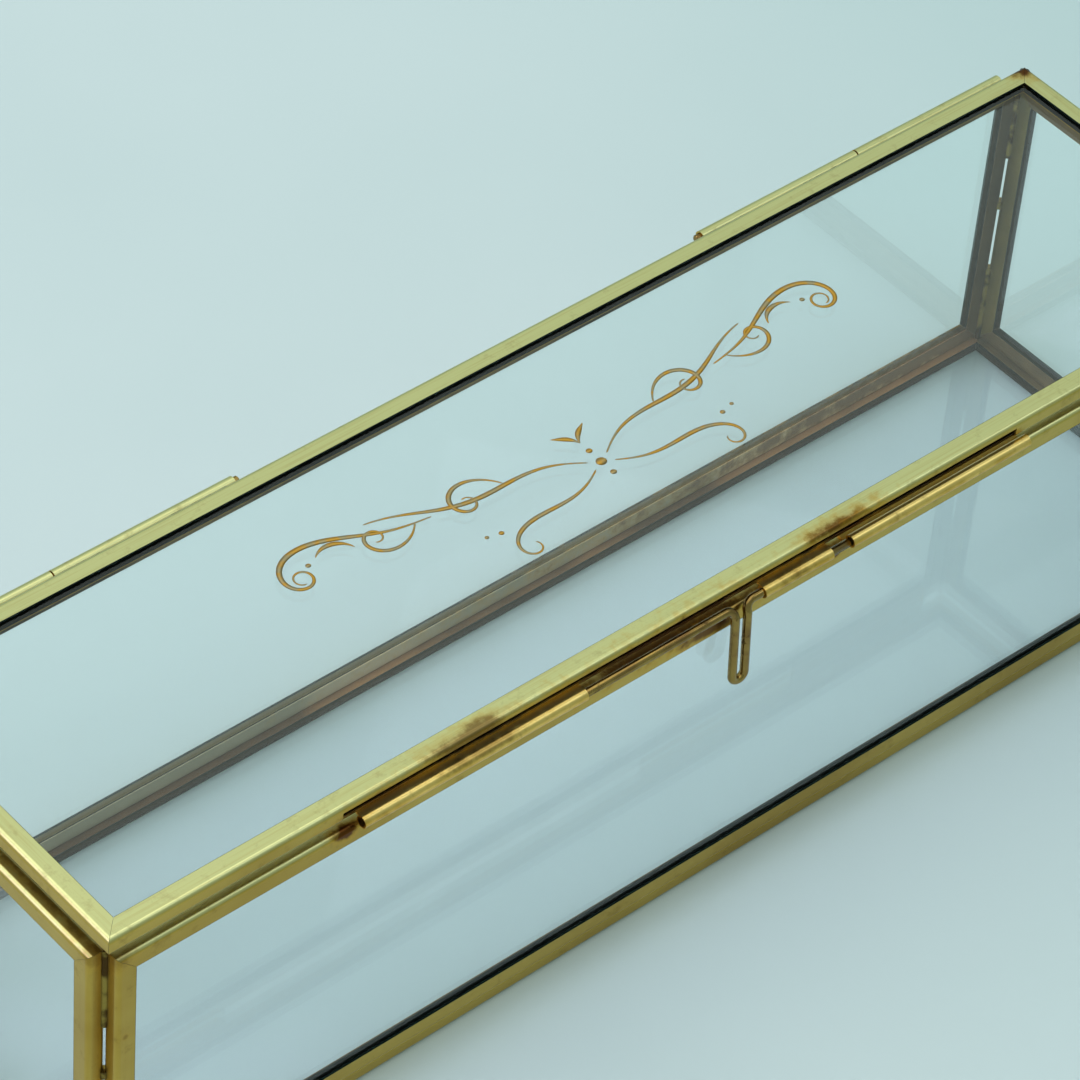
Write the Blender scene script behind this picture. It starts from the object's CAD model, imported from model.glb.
import math
import bpy
import numpy as np
from mathutils import Matrix, Vector


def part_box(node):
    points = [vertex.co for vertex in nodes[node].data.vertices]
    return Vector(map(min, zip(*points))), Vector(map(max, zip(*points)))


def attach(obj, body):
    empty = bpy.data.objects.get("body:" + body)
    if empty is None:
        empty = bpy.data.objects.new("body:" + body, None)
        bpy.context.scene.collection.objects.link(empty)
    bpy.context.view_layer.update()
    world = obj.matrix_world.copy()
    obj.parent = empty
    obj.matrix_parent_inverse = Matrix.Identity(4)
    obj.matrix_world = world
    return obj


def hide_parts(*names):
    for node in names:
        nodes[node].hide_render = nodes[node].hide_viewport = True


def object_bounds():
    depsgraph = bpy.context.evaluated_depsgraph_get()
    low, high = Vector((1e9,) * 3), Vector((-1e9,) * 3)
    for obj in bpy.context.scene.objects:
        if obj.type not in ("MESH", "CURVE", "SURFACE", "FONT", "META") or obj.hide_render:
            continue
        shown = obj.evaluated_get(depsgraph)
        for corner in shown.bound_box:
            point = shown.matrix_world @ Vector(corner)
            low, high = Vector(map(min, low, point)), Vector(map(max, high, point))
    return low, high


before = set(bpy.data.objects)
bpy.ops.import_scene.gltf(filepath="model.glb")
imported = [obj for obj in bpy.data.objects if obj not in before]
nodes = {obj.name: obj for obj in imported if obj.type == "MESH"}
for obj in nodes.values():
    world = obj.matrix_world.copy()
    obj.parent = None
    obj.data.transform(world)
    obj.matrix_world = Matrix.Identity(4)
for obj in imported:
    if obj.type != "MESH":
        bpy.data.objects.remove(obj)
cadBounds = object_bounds()
mm = 0.001


# A skin over points in a grid: rows along the first index, a closed ring along the second, and a face
# over the first ring and the last
def gridMesh(name, points):
    rows, columns = points.shape[:2]
    u, v = np.meshgrid(np.arange(rows - 1), np.arange(columns), indexing="ij")
    nextV = (v + 1) % columns
    quads = np.stack([u * columns + v, (u + 1) * columns + v,
                      (u + 1) * columns + nextV, u * columns + nextV], axis=-1).reshape(-1, 4)
    ends = [list(range(columns)), [rows * columns - 1 - i for i in range(columns)]]
    mesh = bpy.data.meshes.new(name)
    mesh.from_pydata(points.reshape(-1, 3).tolist(), [], quads.tolist() + ends)
    mesh.validate()
    return mesh


# Several meshes as one: their points in a row, their faces' numbers moved on by the points before them
def joined(name, meshes):
    points, faces, start = [], [], 0
    for mesh in meshes:
        places = np.empty((len(mesh.vertices), 3))
        mesh.vertices.foreach_get("co", places.ravel())
        corners = np.empty(len(mesh.loops), dtype=np.int32)
        mesh.loops.foreach_get("vertex_index", corners)
        firsts = np.empty(len(mesh.polygons), dtype=np.int32)
        mesh.polygons.foreach_get("loop_start", firsts)
        points.append(places)
        faces += [face.tolist() for face in np.split(corners + start, firsts[1:])]
        start += len(places)
        bpy.data.meshes.remove(mesh)
    whole = bpy.data.meshes.new(name)
    whole.from_pydata(np.concatenate(points).tolist(), [], faces)
    return whole


# A piece that the solids lack: smooth, in one material, riding on a body
def addPiece(name, mesh, body, material):
    mesh.shade_smooth()
    mesh.materials.append(material)
    piece = bpy.data.objects.new(name, mesh)
    bpy.context.scene.collection.objects.link(piece)
    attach(piece, body)
    return piece


# A circle carried along a path, turned the least way from point to point, with a radius at each point
def roundTube(name, path, radii, sides):
    along = np.gradient(path, axis=0)
    along /= np.linalg.norm(along, axis=1, keepdims=True)
    side = np.zeros_like(along)
    side[0] = np.cross((0, 0, 1.0), along[0])
    for i in range(1, len(path)):
        side[i] = side[i - 1] - along[i] * np.dot(side[i - 1], along[i])
        side[i] /= np.linalg.norm(side[i])
    up = np.cross(along, side)
    angle = np.linspace(0, 2 * math.pi, sides, endpoint=False)
    ring = np.cos(angle)[None, :, None] * side[:, None] + np.sin(angle)[None, :, None] * up[:, None]
    return gridMesh(name, path[:, None] + ring * radii[:, None, None])


# sRGB hex to linear: dark values over 12.92, the rest offset and raised to the power 2.4
def linear(hexColour):
    parts = [int(hexColour[i:i + 2], 16) / 255 for i in (1, 3, 5)]
    return tuple(c / 12.92 if c <= 0.04045 else ((c + 0.055) / 1.055) ** 2.4 for c in parts) + (1.0,)


def newMaterial(name):
    material = bpy.data.materials.new(name)
    material.use_nodes = True
    material.node_tree.nodes.clear()
    return material


# Adds a shader node, sets or links its inputs by name or number, and gives back one of its outputs
def addNode(material, kind, inputs, out=0, **settings):
    tree = material.node_tree
    node = tree.nodes.new("ShaderNode" + kind)
    for key, value in settings.items():
        setattr(node, key, value)
    for key, value in inputs.items():
        if isinstance(value, bpy.types.NodeSocket):
            tree.links.new(value, node.inputs[key])
        else:
            node.inputs[key].default_value = value
    return node.outputs[out] if len(node.outputs) else node


blend = {"data_type": "RGBA", "out": 2}   # a colour mix: factor 0, colours 6 and 7
soft = {"interpolation_type": "SMOOTHSTEP"}


# How far noise of 0 to 1 pushes a stain's edge, and where the edge starts and ends, as shares of its reach
stainEdge = {"push": 2.5, "start": 1.7, "end": 2.5}


# 1 at a place and 0 beyond its reach, drawn out along an axis, with a ragged edge
def patch(material, point, ragged, centre, reach, stretch, axis):
    squeeze = [1 / stretch if axis == i else 1.0 for i in range(3)]
    offset = addNode(material, "VectorMath", {0: point, 1: centre}, operation="SUBTRACT")
    squeezed = addNode(material, "VectorMath", {0: offset, 1: squeeze}, operation="MULTIPLY")
    distance = addNode(material, "VectorMath", {0: squeezed}, operation="LENGTH", out=1)
    edge = addNode(material, "Math", {
        0: ragged, 1: reach * stainEdge["push"], 2: distance}, operation="MULTIPLY_ADD")
    return addNode(material, "MapRange", {
        0: edge, 1: reach * stainEdge["start"], 2: reach * stainEdge["end"], 3: 1.0, 4: 0.0}, **soft)


# Distance of the surface from a plane square to an axis
def fromPlane(material, point, axis, level):
    along = addNode(material, "SeparateXYZ", {0: point}, out=axis)
    apart = addNode(material, "Math", {0: along, 1: level}, operation="SUBTRACT")
    return addNode(material, "Math", {0: apart}, operation="ABSOLUTE")


# In every finish a pair such as smeared holds the two values of its noise, by the input's number, at
# which the pattern starts and is full
paneGlass = {"body": "#FAFFFF", "shadow": "#FCFFFF", "index": 1.52, "smear": 26 * mm,
             "smeared": {1: 0.55, 2: 0.8}, "roughest": 0.02}


# Float glass, fire polished: clear, with a faint cool green in its body and a few wiped smears
def floatGlass():
    material = newMaterial("float glass, polished")
    point = addNode(material, "TexCoord", {}, out="Object")
    film = addNode(material, "TexNoise", {
        "Vector": point, "Scale": 1 / paneGlass["smear"], "Detail": 4.0})
    smear = addNode(material, "MapRange", {
        0: film, **paneGlass["smeared"], 4: paneGlass["roughest"]}, **soft)
    glass = addNode(material, "BsdfPrincipled", {
        "Base Color": linear(paneGlass["body"]), "Roughness": smear, "IOR": paneGlass["index"],
        "Transmission Weight": 1.0})
    through = addNode(material, "BsdfTransparent", {"Color": linear(paneGlass["shadow"])})
    shadow = addNode(material, "LightPath", {}, out="Is Shadow Ray")
    mixed = addNode(material, "MixShader", {0: shadow, 1: glass, 2: through})
    addNode(material, "OutputMaterial", {"Surface": mixed})
    return material


# Bright, deep, rubbed and tarnish are the brass itself, halo and burnt the torch stains, patina the
# faces turned into the box, and lip and gap the channel's mouth. Drawn is how much the streaks are
# squeezed along the strip, and relief how deep they are.
sheetBrass = {
    "bright": "#C8A952", "deep": "#AE8C3A", "rubbed": "#D6D69A", "tarnish": "#745624", "halo": "#C6962A",
    "burnt": "#54280A", "patina": "#7E683C", "patinaDark": "#3E351C", "lip": "#14221F", "gap": "#1C1D14",
    "streak": 0.3 * mm, "smudge": 45 * mm, "spot": 3.2 * mm, "streaked": 0.22, "dullness": 0.25,
    "roughness": 0.3, "rub": 0.9, "bare": 0.5, "haloReach": 1.6, "haloDepth": 0.6, "burntDepth": 0.95,
    "drawn": 0.02, "relief": 0.1 * mm}

# Rubbed is a range of the upward part of the normal
brassPatterns = {"handled": {1: 0.35, 2: 0.7}, "rubbed": {1: 0.3, 2: 0.9}, "lines": {1: 0.45, 2: 0.75},
                 "dull": {1: 0.54, 2: 0.72}, "pits": {1: 0.76, 2: 0.78}, "worn": {1: 0.4, 2: 0.62}}

# Where the masks begin and end, for sheet 0.4 mm thick: depth behind the outer face, depth behind the
# web, distance short of the lip's edge, and distance short of the face turned into the box
channelEdges = {"skin": (0.3 * mm, 0.36 * mm), "web": (0.3 * mm, 0.5 * mm),
                "lip": (0.08 * mm, 0.03 * mm), "boxSide": (0.25 * mm, 0.1 * mm)}


# Sheet brass folded into channel: satin along its length, dulled by handling, rubbed pale on top and
# golden on its sides. Faces turned into the box are brown with patina, and the channel's mouth is black
# with putty and flux. Planes gives the channel's outer face and its web as axis and level, its width and
# its thickness; lined is off where the side turned into the box stays clean.
def foldedBrass(name, axis, planes=None, stains=(), finish=sheetBrass, lined=True):
    material = newMaterial("brass, " + name)
    point = addNode(material, "TexCoord", {}, out="Object")
    drawn = addNode(material, "Mapping", {
        "Vector": point, "Scale": [finish["drawn"] if axis == i else 1.0 for i in range(3)]})
    streaks = addNode(material, "TexNoise", {"Vector": drawn, "Scale": 1 / finish["streak"], "Detail": 2.0})
    smudges = addNode(material, "TexNoise", {
        "Vector": point, "Scale": 1 / finish["smudge"], "Detail": 5.0, "Distortion": 0.4})
    spots = addNode(material, "TexNoise", {
        "Vector": point, "Scale": 1 / finish["spot"], "Detail": 8.0, "Roughness": 0.68})
    handled = addNode(material, "MapRange", {0: smudges, **brassPatterns["handled"]}, **soft)
    facing = addNode(material, "TexCoord", {}, out="Normal")
    upward = addNode(material, "SeparateXYZ", {0: facing}, out=2)
    rubbed = addNode(material, "MapRange", {
        0: upward, **brassPatterns["rubbed"], 4: finish["rub"]}, **soft)
    tone = addNode(material, "Mix", {
        0: handled, 6: linear(finish["bright"]), 7: linear(finish["deep"])}, **blend)
    tone = addNode(material, "Mix", {0: rubbed, 6: tone, 7: linear(finish["rubbed"])}, **blend)
    lines = addNode(material, "MapRange", {
        0: streaks, **brassPatterns["lines"], 4: finish["streaked"]}, **soft)
    tone = addNode(material, "Mix", {0: lines, 6: tone, 7: linear(finish["deep"])}, **blend)
    dull = addNode(material, "MapRange", {
        0: spots, **brassPatterns["dull"], 4: finish["dullness"]}, **soft)
    tone = addNode(material, "Mix", {0: dull, 6: tone, 7: linear(finish["tarnish"])}, **blend)
    pits = addNode(material, "MapRange", {0: spots, **brassPatterns["pits"]}, **soft)
    tone = addNode(material, "Mix", {0: pits, 6: tone, 7: linear(finish["burnt"])}, **blend)
    rough = addNode(material, "Math", {0: dull, 1: 0.5, 2: finish["roughness"]}, operation="MULTIPLY_ADD")
    metal = 1.0
    if planes:
        (faceAxis, faceLevel), (webAxis, webLevel), width, thick = planes
        deep = fromPlane(material, point, faceAxis, faceLevel)
        along = fromPlane(material, point, webAxis, webLevel)
        skin, web, rim, back = (channelEdges[key] for key in ("skin", "web", "lip", "boxSide"))
        behind = addNode(material, "MapRange", {0: deep, 1: skin[0], 2: skin[1]})
        offWeb = addNode(material, "MapRange", {0: along, 1: web[0], 2: web[1]})
        inside = addNode(material, "Math", {0: behind, 1: offWeb}, operation="MULTIPLY")
        lip = addNode(material, "MapRange", {0: along, 1: width - rim[0], 2: width - rim[1]})
        mouth = addNode(material, "Math", {0: inside, 1: lip}, operation="MAXIMUM")
        black = addNode(material, "Mix", {
            0: lip, 6: linear(finish["gap"]), 7: linear(finish["lip"])}, **blend)
        boxSide = addNode(material, "MapRange", {0: deep, 1: thick - back[0], 2: thick - back[1]})
        boxSide = addNode(material, "Math", {0: boxSide, 1: offWeb}, operation="MULTIPLY")
        worn = addNode(material, "MapRange", {0: smudges, **brassPatterns["worn"]}, **soft)
        brown = addNode(material, "Mix", {
            0: worn, 6: linear(finish["patina"]), 7: linear(finish["patinaDark"])}, **blend)
        tone = addNode(material, "Mix", {0: mouth, 6: tone, 7: black}, **blend)
        if lined:
            tone = addNode(material, "Mix", {0: boxSide, 6: tone, 7: brown}, **blend)
            metal = addNode(material, "MapRange", {0: boxSide, 3: 1.0, 4: finish["bare"]})
        else:
            tone = addNode(material, "Mix", {0: boxSide, 6: tone, 7: linear(finish["deep"])}, **blend)
        rough = addNode(material, "MapRange", {0: mouth, 3: rough, 4: 0.5})
    for centre, reach, stretch, depth in stains:
        halo = patch(material, point, spots, centre, reach * finish["haloReach"], stretch, axis)
        burnt = patch(material, point, spots, centre, reach, stretch, axis)
        halo = addNode(material, "Math", {0: halo, 1: finish["haloDepth"] * depth}, operation="MULTIPLY")
        burnt = addNode(material, "Math", {0: burnt, 1: finish["burntDepth"] * depth}, operation="MULTIPLY")
        tone = addNode(material, "Mix", {0: halo, 6: tone, 7: linear(finish["halo"])}, **blend)
        tone = addNode(material, "Mix", {0: burnt, 6: tone, 7: linear(finish["burnt"])}, **blend)
    height = addNode(material, "Math", {0: streaks, 1: 0.5, 2: smudges}, operation="MULTIPLY_ADD")
    bump = addNode(material, "Bump", {"Strength": 0.05, "Distance": finish["relief"], "Height": height})
    shader = addNode(material, "BsdfPrincipled", {
        "Base Color": tone, "Metallic": metal, "Roughness": rough, "Normal": bump})
    addNode(material, "OutputMaterial", {"Surface": shader})
    return material


# Thin brass rolled into tubes: yellower than the channel, browned by the torch in patches
rolledFinish = dict(sheetBrass, bright="#F0C66C", deep="#D0A044", rubbed="#EFD282", tarnish="#6A461A",
                    streak=0.2 * mm, smudge=8 * mm, dullness=0.4, roughness=0.28)

# Drawn brass wire: smooth, darkened brown, khaki where it is rubbed
wireFinish = dict(sheetBrass, bright="#A08448", deep="#7E6038", tarnish="#33241A",
                  rub=0.0, smudge=5 * mm, dullness=0.8, roughness=0.22)

# Clean and brown shades of each solder, and the noise at which the brown starts and is full
solderFinish = {
    "flux": 3 * mm, "lump": 0.7 * mm, "relief": 0.15 * mm,
    "browned": ("#97833E", "#4A3410", {1: 0.42, 2: 0.6}),
    "keeper": ("#8C8A84", "#5B431E", {1: 0.52, 2: 0.7}),
    "burnt": ("#5F5334", "#1E150C", {1: 0.32, 2: 0.5})}


# Soft solder: dull grey, lumpy, browned by flux
def softSolder(name):
    clean, brown, spread = solderFinish[name]
    material = newMaterial("soft solder, " + name)
    point = addNode(material, "TexCoord", {}, out="Object")
    flux = addNode(material, "TexNoise", {"Vector": point, "Scale": 1 / solderFinish["flux"], "Detail": 6.0})
    lumps = addNode(material, "TexNoise", {
        "Vector": point, "Scale": 1 / solderFinish["lump"], "Detail": 4.0})
    stained = addNode(material, "MapRange", {0: flux, **spread}, **soft)
    tone = addNode(material, "Mix", {0: stained, 6: linear(clean), 7: linear(brown)}, **blend)
    bump = addNode(material, "Bump", {
        "Strength": 0.4, "Distance": solderFinish["relief"], "Height": lumps})
    shader = addNode(material, "BsdfPrincipled", {
        "Base Color": tone, "Metallic": 1.0, "Roughness": 0.42, "Normal": bump})
    addNode(material, "OutputMaterial", {"Surface": shader})
    return material


penInk = {"wet": "#C8942C", "dry": "#A8966C", "run": 1.8 * mm, "dried": {1: 0.4, 2: 0.62}}


# Gold calligraphy ink: metal flake in gum, thin and grey where the nib ran dry
def goldInk():
    material = newMaterial("gold ink, dried")
    point = addNode(material, "TexCoord", {}, out="Object")
    runs = addNode(material, "TexNoise", {"Vector": point, "Scale": 1 / penInk["run"], "Detail": 5.0})
    dry = addNode(material, "MapRange", {0: runs, **penInk["dried"]}, **soft)
    tone = addNode(material, "Mix", {0: dry, 6: linear(penInk["wet"]), 7: linear(penInk["dry"])}, **blend)
    shader = addNode(material, "BsdfPrincipled", {"Base Color": tone, "Metallic": 0.4, "Roughness": 0.45})
    addNode(material, "OutputMaterial", {"Surface": shader})
    return material


# The paint fades in one direction between two distances from the middle. Low and high are the top's
# corners. All are in metres.
tableTop = {"paint": "#D2DFE0", "clouds": "#CEDCDD", "faded": "#B4CECE", "cloud": 120 * mm,
            "clouded": {1: 0.3, 2: 0.7}, "towards": (0.95, -0.3, 0), "fade": {1: 0.0, 2: 0.3},
            "low": -2.5, "high": 3.5, "below": 0.2 * mm}


# A smooth painted table top: pale blue green, with a soft sheen
def paintedTop():
    material = newMaterial("painted table top, eggshell")
    point = addNode(material, "TexCoord", {}, out="Object")
    cloudy = addNode(material, "TexNoise", {
        "Vector": point, "Scale": 1 / tableTop["cloud"], "Detail": 3.0})
    patchy = addNode(material, "MapRange", {0: cloudy, **tableTop["clouded"]}, **soft)
    tone = addNode(material, "Mix", {
        0: patchy, 6: linear(tableTop["paint"]), 7: linear(tableTop["clouds"])}, **blend)
    across = addNode(material, "VectorMath", {
        0: point, 1: tableTop["towards"]}, operation="DOT_PRODUCT", out=1)
    faded = addNode(material, "MapRange", {0: across, **tableTop["fade"]}, **soft)
    tone = addNode(material, "Mix", {0: faded, 6: tone, 7: linear(tableTop["faded"])}, **blend)
    shader = addNode(material, "BsdfPrincipled", {
        "Base Color": tone, "Roughness": 0.4, "Specular IOR Level": 0.3})
    addNode(material, "OutputMaterial", {"Surface": shader})
    return material


# Gives solids a finish in place of their plain one
def dress(names, material):
    for name in names:
        mesh = nodes[name].data
        mesh.materials.clear()
        mesh.materials.append(material)


# A place on a piece's box, each share running from its low to its high end, moved on by an offset
def placeOn(node, shares, offset=(0, 0, 0)):
    low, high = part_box(node)
    return tuple(low[i] + (high[i] - low[i]) * shares[i] + offset[i] * mm for i in range(3))


# A place on a strip, level with a share of a sleeve's length
def levelWith(sleeve, share, strip, height, offset=(0, 0, 0)):
    return (placeOn(sleeve, (share, 0, 0), offset)[0],) + placeOn(strip, (0, 0, height), offset)[1:]


# Burnt patches: the strip that they are on, and place, reach, stretch and depth of each
stainsOn = {
    "lid_strip_front": [
        (levelWith("latch_sleeve_long", 0.48, "lid_strip_front", 1), 1.9 * mm, 4.5, 0.7),
        (levelWith("latch_sleeve_short", 1.15, "lid_strip_front", 1), 1.7 * mm, 4, 0.95),
        (levelWith("latch_sleeve_short", -1.3, "lid_strip_front", 0), 2.3 * mm, 9, 0.9),
        (levelWith("latch_sleeve_long", 0.1, "lid_strip_front", 0.2), 1.6 * mm, 5, 0.7),
        (levelWith("keeper_sleeve", 0, "lid_strip_front", 0.2), 1.8 * mm, 3, 0.9)],
    "front_strip_top": [
        (levelWith("latch_sleeve_short", -1.2, "front_strip_top", 1, (0, 1.5, 0)), 2.0 * mm, 10, 0.9),
        (levelWith("latch_sleeve_short", -0.75, "front_strip_top", 0.5), 1.4 * mm, 4, 0.9),
        (levelWith("keeper_sleeve", -0.1, "front_strip_top", 0.9), 1.4 * mm, 3, 1),
        (levelWith("latch_sleeve_long", -0.05, "front_strip_top", 0.9), 1.4 * mm, 2, 1),
        (placeOn("front_strip_top", (0, 0, 1)), 2.4 * mm, 1.3, 0.35)],
    "left_strip_top": [(placeOn("left_strip_top", (0.3, 0, 1)), 2.4 * mm, 1, 0.35),
                       (placeOn("left_strip_top", (0.9, 0.2, 1)), 1.5 * mm, 16, 0.55)],
    "front_strip_left": [(placeOn("front_strip_left", (0.45, 0, 0.7)), 0.6 * mm, 1, 0.4),
                         (placeOn("front_strip_left", (0, 0.3, 1)), 2.6 * mm, 1, 0.35)],
    "left_strip_front": [(placeOn("left_strip_front", (0.3, 0, 1)), 2.6 * mm, 1, 0.35)],
    "rear_strip_bottom": [(placeOn("rear_strip_bottom", (1, 0, 0.7)), 2.5 * mm, 32, 0.75)],
    "lid_strip_rear": [(placeOn("lid_strip_rear", (1, 1, 1)), 3.4 * mm, 1, 1)],
    "lid_strip_right": [(placeOn("lid_strip_right", (1, 1, 1)), 3.0 * mm, 1, 1)]}

# Strips whose shades differ: a cleaner floor rail at the back, torch browned channels at the latch
shadesOn = {"rear_strip_bottom": {"patina": "#D2BA96", "patinaDark": "#A69C80", "gap": "#D2C298"},
            "bottom_strip_rear": {"patina": "#BA8A58", "patinaDark": "#76583A", "gap": "#5A4A30"},
            "right_strip_rear": {"patina": "#8A7C3C", "patinaDark": "#5A5228"},
            "rear_strip_right": {"patina": "#6A5428", "patinaDark": "#3A3018"},
            "lid_strip_front": {"gap": "#4E3A1A"}, "front_strip_top": {"gap": "#4E3A1A"}}

# The axis that a side lies across, and 0 for its low end or 1 for its high end
sides = {"left": (0, 0), "right": (0, 1), "front": (1, 0), "rear": (1, 1),
         "bottom": (2, 0), "top": (2, 1), "lid": (2, 1)}

dress([n for n in nodes if n.endswith("_glass")], floatGlass())
for name in [n for n in nodes if "_strip_" in n]:
    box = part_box(name)
    pane, edge = name.split("_strip_")
    (faceAxis, faceEnd), (webAxis, webEnd) = sides[pane], sides[edge]
    planes = ((faceAxis, box[faceEnd][faceAxis]), (webAxis, box[webEnd][webAxis]),
              box[1][webAxis] - box[0][webAxis], box[1][faceAxis] - box[0][faceAxis])
    finish = dict(sheetBrass, **shadesOn.get(name, {}))
    along = 3 - faceAxis - webAxis   # the axis that is left
    dress([name], foldedBrass("folded channel, " + name.replace("_", " "), along, planes,
                              stainsOn.get(name, ()), finish, pane != "lid"))

# Burnt patches on the latch's sleeves, at their ends and along their bellies
sleeveEnds = [(placeOn("latch_sleeve_short", (0.4, 0.2, 0.6)), 0.9 * mm, 6, 0.6),
              (placeOn("latch_sleeve_long", (0.55, 0.2, 0.8)), 0.8 * mm, 12, 0.5)]
sleeveEnds += [(placeOn(n, (share, 0.3, 0.5)), 0.8 * mm, 2.2, 0.9) for n in (
    "latch_sleeve_long", "latch_sleeve_short", "keeper_sleeve") for share in (0, 1)]
dress([n for n in nodes if "hinge_sleeve" in n], foldedBrass("rolled hinge sleeves", 0))
dress(["latch_sleeve_long", "latch_sleeve_short", "keeper_sleeve"],
      foldedBrass("rolled latch sleeves", 0, None, sleeveEnds, rolledFinish))
wire = foldedBrass("drawn wire", 0, None, (), wireFinish)
dress(["hinge_pin_left", "hinge_pin_right", "bolt_wire"], wire)
dress(["corner_solder"], softSolder("browned"))
print("finishes done")


# The bolt's wire is a smooth tube through the solid's own bends
boltShape = {"radius": 0.75 * mm, "bend": 1.6 * mm, "tilt": math.radians(25), "lean": math.radians(4),
             "pitch": 2.6 * mm, "shortSleeveGap": 2 * mm, "chamfer": 0.15 * mm, "sides": 24,
             "arcStep": math.radians(7.5)}


# The wire's centre line: straight, then each bend as an arc turned about the axis square to it
def boltPath():
    bend, tilt, lean, pitch = (boltShape[key] for key in ("bend", "tilt", "lean", "pitch"))
    chamfer = boltShape["chamfer"]
    low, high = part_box("bolt_wire")
    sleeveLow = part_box("latch_sleeve_short")[0]
    axisZ = high.z - boltShape["radius"]
    drop = bend * (math.sin(tilt) + math.cos(tilt) - math.sin(lean))
    leg = (axisZ - low.z - boltShape["radius"] - drop) / math.cos(lean) - pitch / 2
    reach = bend * (math.sin(tilt) + math.cos(lean) - math.cos(tilt)) + (leg + pitch / 2) * math.sin(lean)
    axisY = low.y + boltShape["radius"] + reach
    handleStart = sleeveLow.x - boltShape["shortSleeveGap"] - pitch - 2 * bend
    x, y, z = np.array([0, 0, -1.0]), np.array([0, 1.0, 0]), np.array([1.0, 0, 0])
    point = np.array([handleStart, axisY, axisZ])
    path = [np.array([low.x, axisY, axisZ]), np.array([low.x + chamfer, axisY, axisZ]), point]
    quarter = math.pi / 2
    for feed, roll, angle, radius in (
            (0, -tilt, quarter, bend), (0, quarter - tilt, tilt - lean, bend),
            (leg, math.pi - tilt, math.pi, pitch / 2), (leg, quarter - tilt, tilt - lean, bend),
            (0, -tilt, quarter, bend)):
        point = point + z * feed
        if feed:
            path.append(point)
        inward = x * math.cos(roll) + y * math.sin(roll)
        other = y * math.cos(roll) - x * math.sin(roll)
        count = max(2, math.ceil(angle / boltShape["arcStep"]))
        path += [point + inward * radius * (1 - math.cos(a)) + z * radius * math.sin(a)
                 for a in np.linspace(0, angle, count + 1)[1:]]
        point = path[-1]
        turned = inward * math.cos(angle) - z * math.sin(angle)
        z = z * math.cos(angle) + inward * math.sin(angle)
        x = turned * math.cos(roll) - other * math.sin(roll)
        y = turned * math.sin(roll) + other * math.cos(roll)
    return np.array(path + [np.array([high.x - chamfer, axisY, axisZ]), np.array([high.x, axisY, axisZ])])


path = boltPath()
radii = np.full(len(path), boltShape["radius"])
radii[[0, -1]] -= boltShape["chamfer"]
bolt = addPiece("boltWire", roundTube("boltWire", path, radii, boltShape["sides"]), "bolt", wire)
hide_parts("bolt_wire")
print("bolt done")


# Solder beads at the joints. Runs along the keeper are in mm from its left end, and along each hinge
# sleeve as shares of its length; a seam is how far forward or back and up their line lies. Corner
# beads: start and end in mm from the lid's corner, radius in mm, and phase of the waves.
beadShape = {
    "lumps": 0.35, "step": 0.25 * mm, "sides": 10, "fewest": 6,
    "keeperRuns": ((0.6, 7), (14, 19), (31, 38.6)), "keeperRadius": 0.25 * mm,
    "keeperSeam": (-0.2 * mm, 0.12 * mm),
    "hingeRuns": ((0.02, 0.3), (0.62, 0.96)), "hingeRadius": 0.26 * mm,
    "hingeSeam": (0.12 * mm, -0.05 * mm),
    "cornerInset": (-0.5, -0.5, -0.75),
    "cornerRuns": (((-1.2, 0.1, 0), (0.7, 0.35, -0.1), 0.72, 0.4),
                   ((0.3, 0.6, -0.1), (0.35, -1.2, 0), 0.7, 1.4))}


# A lumpy bead along a line: its radius swells and shrinks with three waves and ends in a taper
def beadAlong(start, end, radius, phase):
    start, end = np.array(start), np.array(end)
    length = float(np.linalg.norm(end - start))
    t = np.linspace(0, 1, max(beadShape["fewest"], int(length / beadShape["step"])))
    path = start[None] + (end - start)[None] * t[:, None]
    s = t * length / mm
    waves = (0.5 * np.sin(s * 1.9 + phase) + 0.3 * np.sin(s * 4.3 + 2 * phase)
             + 0.2 * np.sin(s * 7.7 + 3 * phase))
    taper = np.sqrt(np.clip(np.minimum(s, s[-1] - s) / (2 * radius / mm), 0, 1) * 0.98 + 0.02)
    swell = 1 - beadShape["lumps"] * (0.5 - 0.5 * waves)
    return roundTube("bead", path, radius * swell * taper, beadShape["sides"])


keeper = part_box("keeper_sleeve")
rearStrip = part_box("lid_strip_rear")
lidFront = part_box("lid_strip_front")
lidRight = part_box("lid_strip_right")
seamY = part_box("front_strip_top")[0].y + beadShape["keeperSeam"][0]
seamZ = keeper[0].z + beadShape["keeperSeam"][1]
caseBeads = [beadAlong((keeper[0].x + first * mm, seamY, seamZ), (keeper[0].x + last * mm, seamY, seamZ),
                       beadShape["keeperRadius"], first) for first, last in beadShape["keeperRuns"]]
addPiece("caseSolderBeads", joined("caseSolderBeads", caseBeads), "case", softSolder("keeper"))

lidBeads = []
for side in ("left", "right"):
    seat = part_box("lid_hinge_sleeve_" + side)
    span = seat[1].x - seat[0].x
    seamY, seamZ = rearStrip[1].y + beadShape["hingeSeam"][0], seat[1].z + beadShape["hingeSeam"][1]
    for first, last in beadShape["hingeRuns"]:
        start, end = (seat[0].x + first * span, seamY, seamZ), (seat[0].x + last * span, seamY, seamZ)
        lidBeads.append(beadAlong(start, end, beadShape["hingeRadius"], first * 9))
corner = np.array([lidRight[1].x, rearStrip[1].y, lidRight[1].z]) + np.array(beadShape["cornerInset"]) * mm
for start, end, radius, phase in beadShape["cornerRuns"]:
    start, end = corner + np.array(start) * mm, corner + np.array(end) * mm
    lidBeads.append(beadAlong(start, end, radius * mm, phase))
addPiece("lidSolderBeads", joined("lidSolderBeads", lidBeads), "lid", softSolder("burnt"))
print("solder done")


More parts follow.
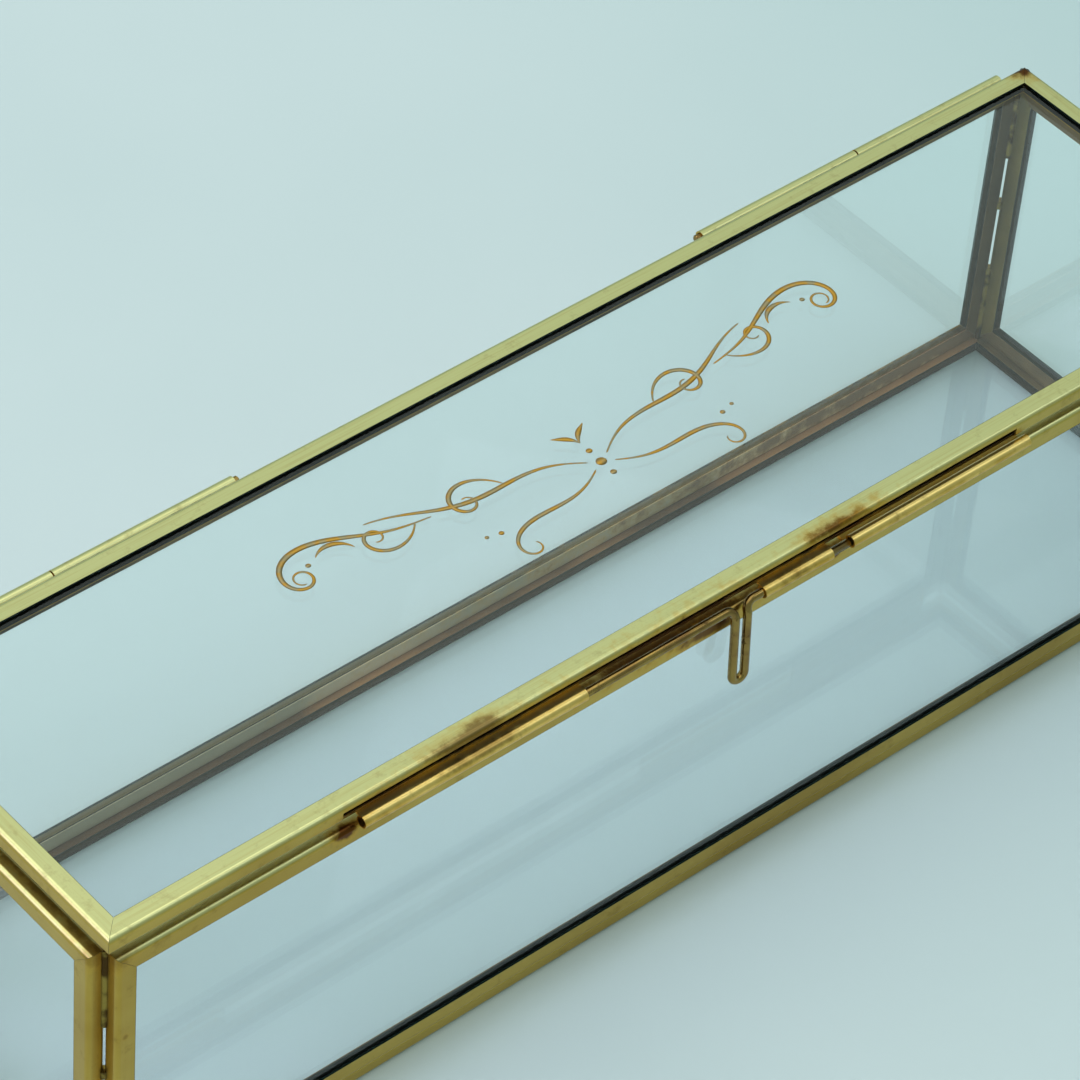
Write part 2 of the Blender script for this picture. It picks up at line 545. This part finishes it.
# A flourish in gold ink on the lid's glass. Centre is a share of the glass's length and width. The edge
# of the ink is lift above the glass, and its underside is foot lower. Tip is half the width, in mm, at a
# stroke's very ends. Dots are across and up from the centre and half their length, in mm.
flourish = {
    "centre": (0.4976, 0.522), "lift": 0.006 * mm, "foot": 0.004 * mm, "crest": 0.05 * mm,
    "step": 0.35 * mm, "fewest": 15, "tip": 0.04, "strokeSwell": 1.6,
    "dotSwell": 0.5, "dotThin": 0.05, "dotWidth": 1.8,
    # each stroke: start across and up from the centre, heading, length, curvature per millimetre at
    # equal steps, thinnest and thickest width, all in millimetres and degrees
    "strokes": [
        (2.0, 1.0, 35, 40, (-0.02, -0.07, -0.02, 0.045, 0.04, -0.03, -0.05), 0.3, 1.0),
        (30.0, 6.5, 8, 46, (0.0, 0.05, -0.02, -0.1, -0.25, -0.55, -0.8), 0.3, 1.1),
        (2.0, -1.0, -30, 30, (0.02, 0.08, 0.03, -0.05, -0.16, -0.5, -0.9), 0.3, 0.9),
        (16.0, 5.5, 60, 22, (-0.1, -0.16, -0.28, -0.5, -0.9), 0.3, 0.9),
        (33.0, 7.0, -50, 20, (0.12, 0.16, 0.3, 0.6, 1.0), 0.3, 0.8),
        (44.0, 8.4, 70, 8, (-0.25, -0.25, -0.25), 0.25, 1.0),
        (0.0, 5.2, 74, 5, (-0.3, -0.2, 0.2), 0.25, 1.0)],
    "dots": [(0.0, 0.0, 1.0), (0.0, 3.0, 0.6), (0.0, -3.0, 0.6),
             (23.5, -3.0, 0.5), (26, -2.4, 0.4), (52.5, 9.5, 0.5)]}


# A stroke's centre line: its heading is the running sum of its curvature, and its place that of its heading
def penStroke(x, y, heading, length, bends):
    count = max(flourish["fewest"], int(length * mm / flourish["step"]))
    s = np.linspace(0, length, count)
    curvature = np.interp(s, np.linspace(0, length, len(bends)), bends)
    turned = np.cumsum((curvature[1:] + curvature[:-1]) / 2 * np.diff(s))
    turn = math.radians(heading) + np.concatenate([[0], turned])
    steps = np.stack([np.cos(turn), np.sin(turn)], axis=1)[:-1] * np.diff(s)[:, None]
    return np.concatenate([[[x, y]], [[x, y]] + np.cumsum(steps, axis=0)]), turn


# A ribbon of ink, domed across: its width goes from thin at its ends to thick at its middle, as the
# sine of its length raised to the power swell
def inkRibbon(points, turn, thin, thick, swell, origin, mirror):
    t = np.linspace(0, 1, len(points))
    half = (thin + (thick - thin) * np.sin(math.pi * t) ** swell) / 2
    half[[0, -1]] = flourish["tip"]
    across = np.stack([-np.sin(turn), np.cos(turn)], axis=1)
    left, right = points + across * half[:, None], points - across * half[:, None]
    ring = np.stack([left, points, right, points], axis=1)
    flat = np.zeros_like(t)
    height = np.stack([flat, flourish["crest"] * half * 2 / thick, flat, flat - flourish["foot"]], axis=1)
    whole = np.concatenate([ring * mm * np.array([mirror, 1.0]), height[:, :, None]], axis=2) + origin
    return gridMesh("ink", whole if mirror > 0 else whole[:, ::-1])


paneLow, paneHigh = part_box("lid_glass")
inkOrigin = np.array([paneLow.x + (paneHigh.x - paneLow.x) * flourish["centre"][0],
                      paneLow.y + (paneHigh.y - paneLow.y) * flourish["centre"][1],
                      paneHigh.z + flourish["lift"]])
inkParts = []
for x, y, heading, length, bends, thin, thick in flourish["strokes"]:
    points, turn = penStroke(x, y, heading, length, bends)
    inkParts += [inkRibbon(points, turn, thin, thick, flourish["strokeSwell"], inkOrigin, mirror)
                 for mirror in (1, -1)]
for x, y, size in flourish["dots"]:
    points, turn = penStroke(x - size, y, 0, 2 * size, (0, 0))
    inkParts += [inkRibbon(points, turn, flourish["dotThin"], size * flourish["dotWidth"],
                           flourish["dotSwell"], inkOrigin, mirror) for mirror in ((1, -1) if x else (1,))]
addPiece("lidFlourish", joined("lidFlourish", inkParts), "lid", goldInk())
print("flourish done")

# The table top, just below the box's foot
low, high, floorZ = tableTop["low"], tableTop["high"], cadBounds[0].z - tableTop["below"]
floorMesh = bpy.data.meshes.new("floor")
floorMesh.from_pydata([(low, low, floorZ), (high, low, floorZ), (high, high, floorZ), (low, high, floorZ)],
                      [], [(0, 1, 2, 3)])
floorMesh.materials.append(paintedTop())
floor = bpy.data.objects.new("floor", floorMesh)
bpy.context.scene.collection.objects.link(floor)

# Even room light with a broad soft glow behind the box, high up, as from a diffused window: at its
# full level within core degrees of its direction, and gone at fade degrees
roomLight = {"room": "#D8F3EE", "level": 0.54, "glow": "#E6F6EE", "glowLevel": 0.8,
             "towards": (0.26, 0.51, 0.82), "core": 12, "fade": 44}


def lightRoom():
    world = bpy.data.worlds.new("studio")
    bpy.context.scene.world = world
    world.use_nodes = True
    world.node_tree.nodes.clear()
    direction = addNode(world, "TexCoord", {}, out="Generated")
    facing = addNode(world, "VectorMath", {0: direction, 1: Vector(roomLight["towards"]).normalized()},
                     operation="DOT_PRODUCT", out=1)
    glow = addNode(world, "MapRange", {0: facing, 1: math.cos(math.radians(roomLight["fade"])),
                                       2: math.cos(math.radians(roomLight["core"]))}, **soft)
    level = addNode(world, "MapRange", {0: glow, 3: roomLight["level"], 4: roomLight["glowLevel"]})
    tone = addNode(world, "Mix", {
        0: glow, 6: linear(roomLight["room"]), 7: linear(roomLight["glow"])}, **blend)
    background = addNode(world, "Background", {0: tone, 1: level})
    addNode(world, "OutputWorld", {"Surface": background})


lightRoom()


# Place, width, radiance and colour of each softbox; all are square and face the middle
softboxes = {
    "overhead": ((-0.3, 0.2, 1.7), 2.2, 1.1, "#FFFFFF"),
    "windowLeft": ((-1.6, 1.0, 1.1), 1.0, 2.4, "#EEDCFF"),
    "windowRight": ((0.95, -0.65, 1.5), 0.6, 1.5, "#F0F4FF")}


# A lamp of even brightness: its power is radiance times pi times its area
def softbox(name, place, width, radiance, tone):
    lamp = bpy.data.lights.new(name, "AREA")
    lamp.shape = "RECTANGLE"
    lamp.size, lamp.size_y = width, width
    lamp.energy = radiance * math.pi * width * width
    lamp.color = linear(tone)[:3]
    holder = bpy.data.objects.new(name, lamp)
    bpy.context.scene.collection.objects.link(holder)
    holder.location = place
    holder.rotation_euler = (-Vector(place)).to_track_quat("-Z", "Y").to_euler()


for name, (place, width, radiance, tone) in softboxes.items():
    softbox(name, place, width, radiance, tone)
print("lamps done")

# Focal length and centre are in pixels of a square frame, angles in radians, and place in mm
cameraFit = {
    "focal": 5245.0645, "frame": 1080, "yaw": 0.7710369, "pitch": 0.7693955, "roll": 0.0922904,
    "place": (-307.0284, -397.7072, 645.9865), "centre": (542.9413, 518.0256)}


# Yaw runs from +Y towards +X, and pitch below the horizon; place is from under the lid's front left corner
def addCamera():
    yaw, pitch, roll = cameraFit["yaw"], cameraFit["pitch"], cameraFit["roll"]
    forward = np.array([math.cos(pitch) * math.sin(yaw), math.cos(pitch) * math.cos(yaw), -math.sin(pitch)])
    right = np.array([math.cos(yaw), -math.sin(yaw), 0])
    up = np.cross(right, forward)
    rolledRight = right * math.cos(roll) + up * math.sin(roll)
    rolledUp = up * math.cos(roll) - right * math.sin(roll)
    size = cameraFit["frame"]
    camera = bpy.data.cameras.new("camera")
    camera.sensor_width = 36
    camera.lens = cameraFit["focal"] * camera.sensor_width / size
    camera.shift_x = (size / 2 - cameraFit["centre"][0]) / size
    camera.shift_y = (cameraFit["centre"][1] - size / 2) / size
    camera.clip_end = 20
    holder = bpy.data.objects.new("camera", camera)
    bpy.context.scene.collection.objects.link(holder)
    foot = Vector((lidFront[0].x, lidFront[0].y, cadBounds[0].z))
    turn = Matrix((rolledRight, rolledUp, -forward)).transposed().to_4x4()
    holder.matrix_world = Matrix.Translation(foot + Vector(cameraFit["place"]) * mm) @ turn
    bpy.context.scene.camera = holder


addCamera()
bpy.context.scene.view_settings.view_transform = "Standard"

print("scene done")
